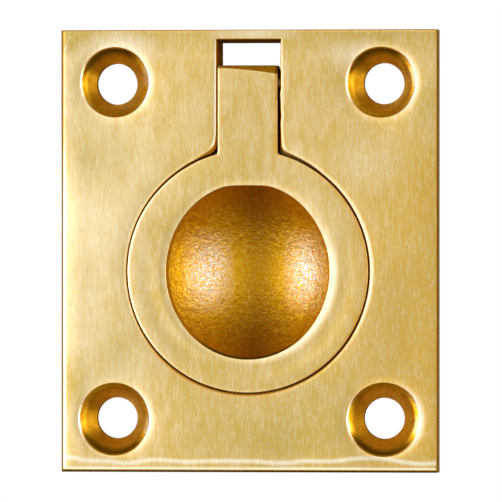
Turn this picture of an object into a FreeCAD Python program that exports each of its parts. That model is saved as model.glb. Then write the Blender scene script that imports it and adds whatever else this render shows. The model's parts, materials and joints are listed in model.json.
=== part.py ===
import FreeCAD, Part
import math
import os

from FreeCAD import Vector

# Flush ring pull: a cast backplate let into the wood, and a ring on an arm that lies flush in it.
# X runs to the right, +Z up, and the front faces -Y. The origin is the middle of the screw
# pattern on the back of the flange, the plane that seats on the wood. All sizes are millimetres.

# Plate
plate_width = 38.1
plate_height = 44.45
flange_thickness = 2.5
plate_corner_radius = 0.2
face_edge_round = 0.15

# Ring and arm
ring_radius = 12.2
ring_drop = 2.06
ring_thickness = 2.6
arm_width = 6.04
arm_root_radius = 0.3
ring_side_shift = -0.11
ring_edge_bevel = 0.2

# Finger hole through the ring, an upright oval of four arcs
hole_half_width = 8.3
hole_half_height = 8.85
hole_lip_bevel = 0.42
hole_lip_easing = 0.16
hole_back_bevel = 0.25

# Keyhole recess that the ring lies in
ring_gap = 0.22
arm_gap = 0.23
seat_gap = 0.1
floor_thickness = 2.1
left_corner_round = 1.2
right_corner_round = 0.9
recess_lip_bevel = 0.2

# Finger bowl behind the ring
bowl_mouth_radius = 9.5
bowl_depth = 5.3
bowl_wall = 1.8
bowl_lip_bevel = 0.3

# Body behind the flange
boss_wall = 1.6
cheek_thickness = 2.2
boss_root_radius = 2.5
boss_edge_bevel = 0.5
boss_top_inset = 0.2
dome_root_bevel = 0.6
dome_flat_radius = 4.0

# Slot above the arm, open right through
top_rail = 0.965
slot_top_draft = 0.3
head_clearance = 2.61

# Hinge
pin_diameter = 1.6
pin_setback = 1.5
pin_end_chamfer = 0.15
pin_cover = 0.3
pin_seat_clearance = 0.02
knuckle_bore_clearance = 0.05
knuckle_radius = 1.75
knuckle_clearance = 0.3
staked_lip = 0.5
staked_mouth = 0.9

# Filed slope on the front of the arm's head, lower on the right
head_slope_left = 0.3
head_slope_right = 0.9
head_slope_back = 0.55

# Countersunk screw holes
screw_side_margin = 5.5
screw_end_margin = 5.325
screw_hole_radius = 2.06
countersink_radius = 3.5
countersink_angle = 90.0

# Places that follow from the sizes
front = -flange_thickness
ring_z = -ring_drop
recess_depth = ring_thickness + seat_gap
recess_radius = ring_radius + ring_gap
channel_half = arm_width / 2 + arm_gap
floor_front = front + recess_depth
floor_back = floor_front + floor_thickness
slot_top = plate_height / 2 - top_rail
pin_y = front + pin_setback
pin_z = slot_top - head_clearance - knuckle_radius
head_top = pin_z + knuckle_radius
pocket_bottom = pin_z - knuckle_radius - knuckle_clearance
bowl_radius = (bowl_mouth_radius ** 2 + bowl_depth ** 2) / (2 * bowl_depth)
bowl_centre_y = floor_front + bowl_depth - bowl_radius
cheek_outer = channel_half + cheek_thickness
pin_half_length = cheek_outer - pin_cover
boss_top = plate_height / 2 - boss_top_inset
screw_x = plate_width / 2 - screw_side_margin
screw_z = plate_height / 2 - screw_end_margin

# How far a cutting shape runs past the faces that it cuts
beyond = 1.0

ALONG_X = Vector(1, 0, 0)
ALONG_Y = Vector(0, 1, 0)


def arc(start, middle, end):
    return Part.Arc(start, middle, end).toShape()


def line(start, end):
    return Part.LineSegment(start, end).toShape()


def solid_of(shape):
    """The one solid that a chain of cuts and fusions leaves, with split faces joined again."""
    return shape.removeSplitter().Solids[0]


def edges_at(shape, y, test=lambda box: True):
    """Edges that lie wholly in the plane at depth y and whose bounding box passes the test."""
    flat = [e for e in shape.Edges if max(abs(e.BoundBox.YMin - y), abs(e.BoundBox.YMax - y)) < 1e-4]
    return [e for e in flat if test(e.BoundBox)]


def rounded_rectangle(width, height, radius, y):
    """Upright rectangle with round corners, centred on the origin at depth y."""
    x, z = width / 2, height / 2
    sagitta = radius * (1 - math.sqrt(0.5))
    edges = []
    ends = []
    for sx, sz in ((1, 1), (-1, 1), (-1, -1), (1, -1)):
        on_side = Vector(sx * x, y, sz * (z - radius))
        on_end = Vector(sx * (x - radius), y, sz * z)
        middle = Vector(sx * (x - sagitta), y, sz * (z - sagitta))
        start, end = (on_side, on_end) if sx == sz else (on_end, on_side)
        edges.append(arc(start, middle, end))
        ends.append((start, end))
    for here, following in zip(ends, ends[1:] + ends[:1]):
        edges.append(line(here[1], following[0]))
    return Part.Wire(Part.sortEdges(edges)[0])


def keyhole(y, centre_x, radius, half_width, top, left_round, right_round):
    """A round with an upright arm above it, and an arc that joins each side of the arm to the round.

    Each joining arc touches the arm's side and the outside of the round, so its centre is one
    joining radius out from the side and that much further than the round's own radius.
    """
    sides = []
    for side, join in ((1, right_round), (-1, left_round)):
        joint_x = half_width + join
        joint_z = ring_z + math.sqrt((radius + join) ** 2 - joint_x ** 2)
        on_arm = Vector(centre_x + side * half_width, y, joint_z)
        share = radius / (radius + join)
        on_round = Vector(centre_x + side * joint_x * share, y, ring_z + (joint_z - ring_z) * share)
        lean = math.atan2(joint_z - ring_z, joint_x)
        half_turn = lean / 2
        middle_x = centre_x + side * (joint_x - join * math.cos(half_turn))
        middle = Vector(middle_x, y, joint_z - join * math.sin(half_turn))
        sides.append((on_arm, middle, on_round))
    right, left = sides
    bottom = Vector(centre_x, y, ring_z - radius)
    top_right = Vector(centre_x + half_width, y, top)
    top_left = Vector(centre_x - half_width, y, top)
    return Part.Wire([
        line(top_right, right[0]),
        arc(*right),
        arc(right[2], bottom, left[2]),
        arc(left[2], left[1], left[0]),
        line(left[0], top_left),
        line(top_left, top_right),
    ])


def prism(wire, depth):
    return Part.Face(wire).extrude(Vector(0, depth, 0))


def turned(edges):
    """Solid of revolution about the bowl's axis, from a closed outline to the right of it."""
    return Part.Face(Part.Wire(edges)).revolve(Vector(0, 0, ring_z), ALONG_Y, 360)


def on_circle(centre_x, centre_y, radius, lean):
    """Point of a circle in the plane of the bowl's half outline, lean radians round from +X."""
    return Vector(centre_x + radius * math.cos(lean), centre_y + radius * math.sin(lean), ring_z)


def body_behind_flange():
    """The keyhole boss, with the bowl's round back standing out of it.

    The dome is a sphere round the bowl's own centre. Its foot is bevelled and its crown is
    ground flat.
    """
    root_y = front / 2
    keyhole_wall = keyhole(root_y, 0, recess_radius + boss_wall, cheek_outer, boss_top, boss_root_radius,
                           boss_root_radius)
    boss = prism(keyhole_wall, floor_back - root_y)
    boss = boss.makeChamfer(boss_edge_bevel, edges_at(boss, floor_back))
    dome_radius = bowl_radius + bowl_wall
    foot_y = floor_back + dome_root_bevel
    foot_lean = math.asin((foot_y - bowl_centre_y) / dome_radius)
    crown_lean = math.acos(dome_flat_radius / dome_radius)
    foot = on_circle(0, bowl_centre_y, dome_radius, foot_lean)
    crown = on_circle(0, bowl_centre_y, dome_radius, crown_lean)
    corners = [
        foot,
        Vector(foot.x + dome_root_bevel, floor_back, ring_z),
        Vector(foot.x + dome_root_bevel, root_y, ring_z),
        Vector(0, root_y, ring_z),
        Vector(0, crown.y, ring_z),
        crown,
    ]
    outline = [line(here, following) for here, following in zip(corners, corners[1:])]
    outline.append(arc(crown, on_circle(0, bowl_centre_y, dome_radius, (foot_lean + crown_lean) / 2), foot))
    return solid_of(boss.fuse(turned(outline)))


def bowl_cut():
    """The round hollow, with a bevel where it breaks through the recess floor."""
    bevel_y = floor_front + bowl_lip_bevel
    lean = math.asin((bevel_y - bowl_centre_y) / bowl_radius)
    on_bowl = on_circle(0, bowl_centre_y, bowl_radius, lean)
    bevel_x = on_bowl.x + bowl_lip_bevel
    pole = Vector(0, bowl_centre_y + bowl_radius, ring_z)
    start = Vector(0, floor_front - beyond, ring_z)
    return turned([
        line(start, Vector(bevel_x, floor_front - beyond, ring_z)),
        line(Vector(bevel_x, floor_front - beyond, ring_z), Vector(bevel_x, floor_front, ring_z)),
        line(Vector(bevel_x, floor_front, ring_z), on_bowl),
        arc(on_bowl, on_circle(0, bowl_centre_y, bowl_radius, lean / 2 + math.pi / 4), pole),
        line(pole, start),
    ])


def slot_cut():
    """The opening round the arm's head: straight sides, and a top that slopes down to the back."""
    far_front = front - beyond
    far_back = floor_back + beyond
    slope = slot_top_draft / (floor_back - front)
    points = [
        Vector(-channel_half, far_front, pocket_bottom),
        Vector(-channel_half, far_back, pocket_bottom),
        Vector(-channel_half, far_back, slot_top - slope * (far_back - front)),
        Vector(-channel_half, far_front, slot_top - slope * (far_front - front)),
    ]
    face = Part.Face(Part.makePolygon(points + points[:1]))
    return face.extrude(ALONG_X * (2 * channel_half))


def pin_groove():
    """Seat for the pin across both cheeks, cut in from the back, with lips staked over it."""
    radius = pin_diameter / 2 + pin_seat_clearance
    start = -pin_half_length - pin_seat_clearance
    length = -2 * start
    seat = Part.makeCylinder(radius, length, Vector(start, pin_y, pin_z), ALONG_X)
    lip_front = floor_back - staked_lip
    channel = Part.makeBox(length, lip_front - pin_y, 2 * radius, Vector(start, pin_y, pin_z - radius))
    mouth = Part.makeBox(length, floor_back - pin_y + beyond, staked_mouth,
                         Vector(start, pin_y, pin_z - staked_mouth / 2))
    return seat.fuse([channel, mouth])


def screw_cut(x, z):
    """A through hole and its countersink."""
    sink_depth = (countersink_radius - screw_hole_radius) / math.tan(math.radians(countersink_angle / 2))
    through = flange_thickness + 2 * beyond
    hole = Part.makeCylinder(screw_hole_radius, through, Vector(x, front - beyond, z), ALONG_Y)
    sink = Part.makeCone(countersink_radius, screw_hole_radius, sink_depth, Vector(x, front, z), ALONG_Y)
    return hole.fuse(sink)


def in_keyhole(box):
    """True for an edge of the recess or the slot: on the keyhole's box or inside it."""
    reach = recess_radius + boss_wall / 2
    wide = box.XMin > -reach and box.XMax < reach
    return wide and box.ZMin > ring_z - reach and box.ZMax < plate_height / 2 - top_rail / 2


def on_outline(box):
    """True for an edge of the flange's outline or of its corners."""
    margin = plate_corner_radius + top_rail / 4
    wide = max(-box.XMin, box.XMax) > plate_width / 2 - margin
    return wide or max(-box.ZMin, box.ZMax) > plate_height / 2 - margin


def backplate():
    flange = prism(rounded_rectangle(plate_width, plate_height, plate_corner_radius, front), flange_thickness)
    body = solid_of(flange.fuse(body_behind_flange()))
    recess = prism(keyhole(front - beyond, 0, recess_radius, channel_half, pin_z, left_corner_round,
                           right_corner_round), recess_depth + beyond)
    body = solid_of(body.cut(recess).cut(slot_cut()))
    body = solid_of(body.cut(bowl_cut()))
    screws = [screw_cut(sx * screw_x, sz * screw_z) for sx in (-1, 1) for sz in (-1, 1)]
    body = solid_of(body.cut(screws))
    body = body.makeChamfer(recess_lip_bevel, edges_at(body, front, in_keyhole))
    body = body.makeFillet(face_edge_round, edges_at(body, front, on_outline))
    return solid_of(body.cut(pin_groove()))


def knuckle_profile(x):
    """Side view of the arm's head: flat in front, square on top, and round about the pin behind."""
    arm_back = front + ring_thickness
    meet_z = pin_z - math.sqrt(knuckle_radius ** 2 - (arm_back - pin_y) ** 2)
    low_z = pin_z - 2 * knuckle_radius
    top = Vector(x, pin_y, head_top)
    far = Vector(x, pin_y + knuckle_radius, pin_z)
    meet = Vector(x, arm_back, meet_z)
    return Part.Wire([
        line(Vector(x, front, low_z), Vector(x, front, head_top)),
        line(Vector(x, front, head_top), top),
        arc(top, far, meet),
        line(meet, Vector(x, arm_back, low_z)),
        line(Vector(x, arm_back, low_z), Vector(x, front, low_z)),
    ])


def head_slope_cut():
    """Prism in front of the filed slope, carried along the slope's lower edge, down to the right."""
    fall = (head_slope_right - head_slope_left) / arm_width
    left = ring_side_shift - arm_width / 2 - beyond
    low = Vector(left, front, head_top - head_slope_left + fall * beyond)
    up_slope = Vector(0, head_slope_back, head_slope_right)
    above = low + up_slope * (1 + beyond / head_slope_right)
    corner = Vector(left, front - 2 * beyond, above.z)
    section = Part.makePolygon([low - up_slope, above, corner, low - up_slope])
    length = arm_width + 2 * beyond
    return Part.Face(section).extrude(Vector(length, 0, -fall * length))


def finger_hole():
    """Oval prism of four arcs that meet where the outline runs at 45 degrees.

    The end arcs' centres lie `lift` from the middle towards their own end, and the side arcs'
    centres as far from it on the other side, so the two radii differ by lift times the root of two.
    """
    lift = (hole_half_height - hole_half_width) / (2 - math.sqrt(2))
    joint_x = (hole_half_width + lift) * math.sqrt(0.5) - lift
    joint_z = (hole_half_width + lift) * math.sqrt(0.5)
    y = front - beyond

    def at(x, z):
        return Vector(ring_side_shift + x, y, ring_z + z)

    wire = Part.Wire([
        arc(at(joint_x, -joint_z), at(hole_half_width, 0), at(joint_x, joint_z)),
        arc(at(joint_x, joint_z), at(0, hole_half_height), at(-joint_x, joint_z)),
        arc(at(-joint_x, joint_z), at(-hole_half_width, 0), at(-joint_x, -joint_z)),
        arc(at(-joint_x, -joint_z), at(0, -hole_half_height), at(joint_x, -joint_z)),
    ])
    return prism(wire, ring_thickness + 2 * beyond)


def in_finger_hole(box):
    """True for an edge whose box lies inside the ring's outline, so on the rim of its hole."""
    reach = (ring_radius + hole_half_height) / 2
    return max(-box.XMin, box.XMax) < reach and box.ZMin > ring_z - reach and box.ZMax < ring_z + reach


def pull_ring():
    """Ring, arm and hinge knuckle, cast in one."""
    outline = keyhole(front, ring_side_shift, ring_radius, arm_width / 2, pin_z, arm_root_radius,
                      arm_root_radius)
    flat = prism(outline, ring_thickness)
    head = Part.Face(knuckle_profile(ring_side_shift - arm_width / 2)).extrude(ALONG_X * arm_width)
    body = solid_of(flat.fuse(head))
    body = solid_of(body.cut(head_slope_cut()))
    outer = edges_at(body, front, lambda b: b.ZMin < pocket_bottom)
    body = body.makeChamfer(ring_edge_bevel, outer)
    body = solid_of(body.cut(finger_hole()))
    body = body.makeChamfer(hole_lip_bevel, edges_at(body, front, in_finger_hole))
    body = body.makeChamfer(hole_lip_easing, edges_at(body, front, in_finger_hole))
    body = body.makeChamfer(hole_back_bevel, edges_at(body, front + ring_thickness, in_finger_hole))
    bore = Part.makeCylinder(pin_diameter / 2 + knuckle_bore_clearance, arm_width + 2 * beyond,
                             Vector(ring_side_shift - arm_width / 2 - beyond, pin_y, pin_z), ALONG_X)
    return solid_of(body.cut(bore))


def hinge_pin():
    """Plain wire pin with its ends eased."""
    start = Vector(-pin_half_length, pin_y, pin_z)
    pin = Part.makeCylinder(pin_diameter / 2, 2 * pin_half_length, start, ALONG_X)
    ends = [e for e in pin.Edges if e.BoundBox.XMax - e.BoundBox.XMin < 1e-3]
    return pin.makeChamfer(pin_end_chamfer, ends)


os.makedirs("parts", exist_ok=True)
for name, make in (("backplate", backplate), ("pull_ring", pull_ring), ("hinge_pin", hinge_pin)):
    shape = make()
    print(name, "valid", shape.isValid(), "solids", len(shape.Solids), "volume", round(shape.Volume, 1))
    shape.exportStep("parts/" + name + ".step")
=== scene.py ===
import json
import math

import bmesh
import bpy
import numpy as np
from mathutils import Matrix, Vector
from mathutils.geometry import delaunay_2d_cdt


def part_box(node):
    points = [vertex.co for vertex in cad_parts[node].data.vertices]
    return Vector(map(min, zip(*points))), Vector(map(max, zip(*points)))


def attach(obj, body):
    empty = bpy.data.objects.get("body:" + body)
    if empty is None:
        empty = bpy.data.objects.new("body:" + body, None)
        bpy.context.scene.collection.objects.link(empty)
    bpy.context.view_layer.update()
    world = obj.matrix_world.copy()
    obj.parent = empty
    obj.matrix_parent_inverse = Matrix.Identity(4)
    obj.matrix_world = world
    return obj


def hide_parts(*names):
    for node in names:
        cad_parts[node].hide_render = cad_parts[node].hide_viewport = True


# Flush ring pull in cast brass: the skins, finishes, light and camera. The skins are worked out in
# millimetres in the part's own frame and become metres when a mesh is made. Outlines are closed
# rows of points (x, z) that run anticlockwise seen from the front.

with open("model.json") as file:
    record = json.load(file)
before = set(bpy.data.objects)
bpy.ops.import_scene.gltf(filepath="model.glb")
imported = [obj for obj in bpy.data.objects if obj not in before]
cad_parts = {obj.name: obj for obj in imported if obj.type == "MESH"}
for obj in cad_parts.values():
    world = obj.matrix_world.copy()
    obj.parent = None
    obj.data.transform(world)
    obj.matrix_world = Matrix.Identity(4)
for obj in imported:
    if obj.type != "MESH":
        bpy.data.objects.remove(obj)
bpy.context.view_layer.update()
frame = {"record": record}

MM = 0.001


def box_mm(node):
    low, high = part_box(node)
    return np.array(low) / MM, np.array(high) / MM


plate_low, plate_high = box_mm("backplate")
ring_low, ring_high = box_mm("pull_ring")
pin_low, pin_high = box_mm("hinge_pin")
screw_mount = [m for m in frame["record"]["mounts"] if m["name"] == "screw_holes"][0]["dims"]

# Places read from the frame
half_width = plate_high[0]
half_height = plate_high[2]
front = plate_low[1]
crown_y = plate_high[1]
ring_shift = (ring_low[0] + ring_high[0]) / 2
ring_radius = (ring_high[0] - ring_low[0]) / 2
ring_z = ring_low[2] + ring_radius
head_top = ring_high[2]
pin_y, pin_z = (pin_low[1:] + pin_high[1:]) / 2
pin_radius = (pin_high[2] - pin_low[2]) / 2
pin_half = pin_high[0]
knuckle_radius = ring_high[1] - pin_y
screw_x = screw_mount["spacing_x_mm"] / 2
screw_z = screw_mount["spacing_y_mm"] / 2
screw_radius = screw_mount["hole_r_mm"]

# Sizes of the casting, in millimetres
ring_thickness = 2.6
arm_half = 3.02
finger_half_width = 8.3
finger_half_height = 8.85
ring_gap = 0.22
arm_gap = 0.23
recess_depth = 2.7
floor_thickness = 2.1
left_join = 1.2
right_join = 0.9
ring_join = 0.3
knuckle_clearance = 0.3
top_rail = 0.965
slot_draft = 0.3
bowl_mouth = 9.5
bowl_depth = 5.3
bowl_wall = 1.8
bowl_bevel = 0.3
boss_wall = 1.6
cheek_thickness = 2.2
boss_join = 2.5
boss_bevel = 0.5
boss_inset = 0.2
dome_bevel = 0.6
dome_flat = 4.0
bore_radius = 0.85
seat_radius = 0.82
groove_end = 0.02
mouth_end = 4.8
staked_lip = 0.5
staked_half = 0.45
slope_left = 0.3
slope_right = 0.9
slope_back = 0.55

# Hand finishing: corners of the flange and of its holes' back rims, the flange's back bevel, how
# far in the recess's lip may reach, and how far the belt drew the lip over towards the ring
corner_radius = 0.06
back_bevel = 0.07
lip_reach = 0.84
lip_shift = -0.085
lip_closing = 0.09

# The finger hole's top was filed a little flat: how much, and how softly it meets the sides. Its
# lower lip was drawn in by the same work.
flattened = 0.22
flat_ease = 0.10
lower_lip_in = 0.2

# Where the arm's channel meets the round
left_junction = (-3.75, 10.1)
right_junction = (3.6, 10.2)
# Middle of the painted light that lightens the lip's arc near the right junction
junction_painted_light = (4.6, 9.6)

# How far from the middle the two painted highlights on the bowl lie, and how far out the ring's face is worn
painted_highlight_x = 5.0
worn_ring = 10.1

# Places that follow from them
channel_half = arm_half + arm_gap
cheek_x = channel_half + cheek_thickness
recess_radius = ring_radius + ring_gap
floor_y = front + recess_depth
boss_y = floor_y + floor_thickness
boss_top = half_height - boss_inset
ring_back = front + ring_thickness
slot_top = half_height - top_rail
pocket_z = pin_z - knuckle_radius - knuckle_clearance
head_foot = pocket_z + 0.2
bowl_radius = (bowl_mouth ** 2 + bowl_depth ** 2) / (2 * bowl_depth)
bowl_y = floor_y + bowl_depth - bowl_radius
groove_half = pin_half + groove_end

# Countersinks as they were drilled by hand: (side, up, offset in x, offset in z, radius)
countersinks = (
    (-1, 1, -0.05, 0.08, 3.44),
    (1, 1, -0.17, 0.03, 3.46),
    (-1, -1, -0.14, -0.02, 3.57),
    (1, -1, 0.10, -0.02, 3.64),
)
bore_skew = 0.10

# Angles of the painted highlight and the painted shade crescents on the cones of the upper and the lower
# holes
glint_lift = math.radians(10)
shade_aside = {1: math.radians(22), -1: math.radians(4)}

# Soft spots on the linished face, darker as painted shade and paler as painted highlights: x, z, half width,
# half height, strength
painted_shade_spots = (
    (-18.0, -13.2, 2.2, 4.0, 0.8),
    (-18.3, 21.6, 2.8, 1.9, 1.0),
    (-3.0, -3.0, 9.5, 26.0, 0.5),
    (-16.0, 9.5, 5.5, 5.0, 0.6),
    (-13.2, -9.5, 3.0, 5.5, 0.6),
    (4.0, -19.0, 11.0, 4.0, 0.75),
    (6.5, -15.0, 5.5, 5.5, 0.5),
    (17.8, 15.0, 2.2, 4.0, 0.6),
)
painted_highlight_spots = (
    (-13.2, 20.1, 4.4, 2.4, 0.95),
    (0.5, 21.8, 5.5, 0.9, 0.6),
    (11.0, 19.7, 4.0, 1.8, 0.6),
    (12.0, 8.8, 5.0, 3.4, 0.26),
)

# Order of the finishes on the backplate and on the ring
LINISHED, MILLED, COUNTERSUNK, FILED, SCALED, CAST, RAW = range(7)

# Rows of the arm's head where the filed slope starts and ends, and where the nose ends
SLOPE_START, SLOPE_END, NOSE_END = 14, 18, 22


def sweep(low, high, step):
    """Evenly spaced values from low to high, about one step apart, both ends kept."""
    return np.linspace(low, high, max(2, int(round(abs(high - low) / step)) + 1))


def climb(value, start, span):
    """Share that goes from 0 at `start` to 1 one span further, where the span may be negative."""
    return np.clip((value - start) / span, 0, 1)


def smooth(share):
    """Smoothstep of a share."""
    return share * share * (3 - 2 * share)


def near_share(distance, width):
    """One on a line, falling as a parabola to nothing at `width` from it."""
    return np.clip(1 - distance / width, 0, 1) ** 2


def spot_share(x, z, middle, spread):
    """One at the middle of a spot, falling as a bell curve about it."""
    return np.exp(-((x - middle[0]) ** 2 + (z - middle[1]) ** 2) / spread)


def points_of(*coordinates):
    """Points from their coordinates, each of which is one value or one value a point."""
    return np.stack(np.broadcast_arrays(*coordinates), -1)


def at_depth(points, y):
    """Outline points (x, z) placed at depth y, which may be one value a point."""
    return points_of(points[:, 0], y, points[:, 1])


def join_runs(*runs):
    """Closed outline from runs of points, each run without its last point."""
    return np.concatenate([run[:-1] for run in runs])


def straight(start, end, step):
    """Points of a straight run, both ends kept."""
    share = sweep(0, math.dist(start, end), step)[:, None] / math.dist(start, end)
    return np.array(start) + share * (np.array(end) - np.array(start))


def bend(centre, radius, start, end, step=0.22):
    """Points of an arc from one angle to another, in radians."""
    lean = sweep(start, end, step / max(radius, 0.6))
    return points_of(centre[0] + radius * np.cos(lean), centre[1] + radius * np.sin(lean))


def circle(x, z, radius, count):
    """Points evenly spaced round a circle."""
    lean = np.linspace(0, 2 * math.pi, count, endpoint=False)
    return points_of(x + radius * np.cos(lean), z + radius * np.sin(lean))


def outward(points, closed=True):
    """Mitred outward direction at each point of an outline or an open path: the sum of its two
    edges' normals over one plus their dot product, so that an offset keeps every edge parallel."""
    edge = (np.roll(points, -1, 0) - points)[:None if closed else -1]
    normal = points_of(edge[:, 1], -edge[:, 0]) / np.linalg.norm(edge, axis=1)[:, None]
    before = np.roll(normal, 1, 0)
    after = normal
    if not closed:
        before = np.concatenate([normal[:1], normal])
        after = np.concatenate([normal, normal[-1:]])
    return (before + after) / (1 + (before * after).sum(1))[:, None]


def wall_grid(top_row, bottom_row, count):
    """Rows spaced evenly from one row to another."""
    share = np.linspace(0, 1, count)[:, None, None]
    return top_row[None] * (1 - share) + bottom_row[None] * share


def edge_profile(roll, lean, radius, turn_to=90.0, band=0.0, dull=-1.0, rolls=6, turns=6):
    """Section of a hand-finished edge, as distance inside the outline and depth below the face.

    The buffed face falls away as a parabola over the width of the roll until it leans `lean`
    degrees, keeps that lean over the band, and an arc then turns it on to `turn_to` degrees. The
    polish level rises from 0 to 1 over the roll, where the buffed edge is smoother and painted
    pale as a highlight. It falls to `dull` over the arc, where below 0 is painted shade of the
    edge turning away. The last value returned is the number of the arc's first row.
    """
    first, last = math.radians(lean), math.radians(turn_to)
    turn = np.linspace(first, last, turns)
    reach = radius * (math.sin(last) - math.sin(first))
    soft = roll - reach - band
    arc_in = radius * (math.sin(last) - np.sin(turn))
    roll_in = np.linspace(roll, reach + band, rolls)[:None if band else -1]
    roll_down = math.tan(first) * (roll - roll_in) ** 2 / (2 * soft)
    arc_down = math.tan(first) * (soft / 2 + band) + radius * (math.cos(first) - np.cos(turn))
    inside = np.concatenate([roll_in, arc_in])
    polish = np.concatenate([((roll - roll_in) / soft) ** 1.3, np.linspace(1, dull, turns)])
    return inside, np.concatenate([roll_down, arc_down]), polish, len(roll_in)


def widened(profile, roll_share, arc_share, steeper=1.0):
    """Distances and depths of an edge at each point of its outline, with the roll `roll_share`
    times as wide and `steeper` times as steep, and the arc `arc_share` times as large."""
    inside, down, _, start = profile
    in_arc = (np.arange(len(inside)) >= start)[:, None]
    inside, down = inside[:, None], down[:, None]
    reach, drop = inside[start], down[start]
    wide = np.where(in_arc, inside * arc_share, reach * arc_share + (inside - reach) * roll_share)
    fall = roll_share * steeper
    deep = np.where(in_arc, drop * fall + (down - drop) * arc_share, down * fall)
    return wide, deep


def shine(polish, share):
    """Polish level of each row at each point, with painted light: what is above 0 is taken times the point's
    share, which paints a highlight, or shade where the share is below 0.
    """
    return np.where(polish[:, None] > 0, polish[:, None] * share, polish[:, None])


def value_noise(x, z, cell, seed):
    """Smooth noise from -1 to 1: random heights on a square lattice, blended by smoothstep."""
    size = 256
    heights = np.random.default_rng(seed).uniform(-1, 1, (size, size))
    u, v = np.asarray(x) / cell + 97.3, np.asarray(z) / cell + 61.7
    i, j = np.floor(u).astype(int), np.floor(v).astype(int)
    s, t = smooth(u - i), smooth(v - j)
    low = heights[i % size, j % size] * (1 - s) + heights[(i + 1) % size, j % size] * s
    high = heights[i % size, (j + 1) % size] * (1 - s) + heights[(i + 1) % size, (j + 1) % size] * s
    return low * (1 - t) + high * t


def inside_outline(points, outline):
    """Even-odd test of many points against one closed outline."""
    x, z = points[:, :1], points[:, 1:]
    ax, az = outline.T
    bx, bz = np.roll(ax, -1), np.roll(az, -1)
    crosses = (az > z) != (bz > z)
    rise = np.where(bz == az, 1e-12, bz - az)
    return (crosses & (x < ax + (z - az) * (bx - ax) / rise)).sum(1) % 2 == 1


def between_loops(points, loops):
    """Which points lie inside the first loop and outside the others."""
    keep = inside_outline(points, loops[0])
    for hole in loops[1:]:
        keep &= ~inside_outline(points, hole)
    return keep


def gap_to(points, loops):
    """Distance from each point to the nearest edge of the loops, edge by edge in small groups."""
    starts = np.concatenate(loops)
    spans = np.concatenate([np.roll(loop, -1, 0) - loop for loop in loops])
    nearest = np.full(len(points), np.inf)
    groups = max(1, len(starts) // 150)
    for start, span in zip(np.array_split(starts, groups), np.array_split(spans, groups)):
        reach = points[:, None] - start[None]
        share = np.clip((reach * span).sum(2) / (span * span).sum(1), 0, 1)
        nearest = np.minimum(nearest, np.linalg.norm(reach - share[..., None] * span, axis=2).min(1))
    return nearest


def fill(loops, step):
    """Lattice points between loops of (x, z) points, and triangles over loops and lattice.

    The first loop is the outer one and the others are holes in it. The lattice keeps about half a
    step away from every loop.
    """
    spans = [sweep(low, high, step) for low, high in zip(loops[0].min(0), loops[0].max(0))]
    columns, rows = np.meshgrid(*spans, indexing="ij")
    lattice = points_of(columns.ravel(), rows.ravel())
    lattice = lattice[between_loops(lattice, loops)]
    lattice = lattice[gap_to(lattice, loops) > 0.5 * step]
    points = np.concatenate([*loops, lattice])
    borders = []
    start = 0
    for loop in loops:
        count = len(loop)
        borders += [(start + i, start + (i + 1) % count) for i in range(count)]
        start += count
    made = delaunay_2d_cdt([Vector(p) for p in points.tolist()], borders, [], 2, 1e-7)
    source = np.array([origin[0] if origin else -1 for origin in made[3]])
    triangles = source[np.array([face for face in made[2] if len(face) == 3])]
    triangles = triangles[(triangles >= 0).all(1)]
    return lattice, triangles[between_loops(points[triangles].mean(1), loops)]


class Skin:
    """Surfaces in millimetres that are gathered, joined where their edges meet, and made one mesh."""

    def __init__(self):
        self.points, self.triangles, self.finishes, self.polish = [], [], [], []
        self.count = 0

    def add(self, points, triangles, finish, polish=0.0):
        self.points.append(points)
        self.triangles.append(triangles + self.count)
        self.finishes.append(np.broadcast_to(finish, len(triangles)))
        self.polish.append(np.broadcast_to(polish, len(points)))
        self.count += len(points)

    def rows(self, grid, finish, closed=True, polish=0.0):
        """Surface over a grid of shape (rows, columns, 3). `finish` may be one value a row gap, and
        the polish level, which carries the buffing and painted highlights and shade, one value a row and
        point."""
        grid = np.asarray(grid, float)
        m, n = grid.shape[:2]
        i, j = np.meshgrid(np.arange(m - 1), np.arange(n if closed else n - 1), indexing="ij")
        a, b = i * n + j, i * n + (j + 1) % n
        triangles = np.stack([a, a + n, b, a + n, b + n, b], 2).reshape(-1, 3)
        per_gap = np.repeat(np.broadcast_to(finish, m - 1), 2 * i.shape[1])
        self.add(grid.reshape(-1, 3), triangles, per_gap, np.broadcast_to(polish, (m, n)).reshape(-1))

    def patch(self, loops, step, finish, lift, axes=(0, 2)):
        """Surface between loops of 3-D points. `lift` is the third coordinate of the lattice, or
        a function that gives it."""
        lattice, triangles = fill([loop[:, axes] for loop in loops], step)
        inner = np.empty((len(lattice), 3))
        inner[:, axes] = lattice
        inner[:, 3 - sum(axes)] = lift(*lattice.T) if callable(lift) else lift
        self.add(np.concatenate([*loops, inner]), triangles, finish)

    def mesh(self, name, shape, materials):
        """One mesh: equal points joined, empty triangles dropped, `shape` moves the joined points."""
        gathered = (self.points, self.triangles, self.finishes, self.polish)
        points, triangles, finishes, polish = [np.concatenate(part) for part in gathered]
        grain = 2e-4
        _, first, joined = np.unique(np.round(points / grain).astype(np.int64), axis=0,
                                     return_index=True, return_inverse=True)
        triangles = joined.reshape(-1)[triangles]
        a, b, c = triangles.T
        whole = (a != b) & (b != c) & (c != a)
        made = bpy.data.meshes.new(name)
        made.from_pydata((shape(points[first]) * MM).tolist(), [], triangles[whole].tolist())
        for material in materials:
            made.materials.append(material)
        made.polygons.foreach_set("material_index", finishes[whole].astype(np.int32))
        # The polish level goes to the materials as a point attribute: the buffing, and painted highlights and
        # shade.
        levels = made.attributes.new("polish", "FLOAT", "POINT")
        levels.data.foreach_set("value", polish[first].astype(np.float32))
        return new_object(name, made)


def new_object(name, data):
    """An object in the scene, at the origin."""
    made = bpy.data.objects.new(name, data)
    bpy.context.scene.collection.objects.link(made)
    return made


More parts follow.
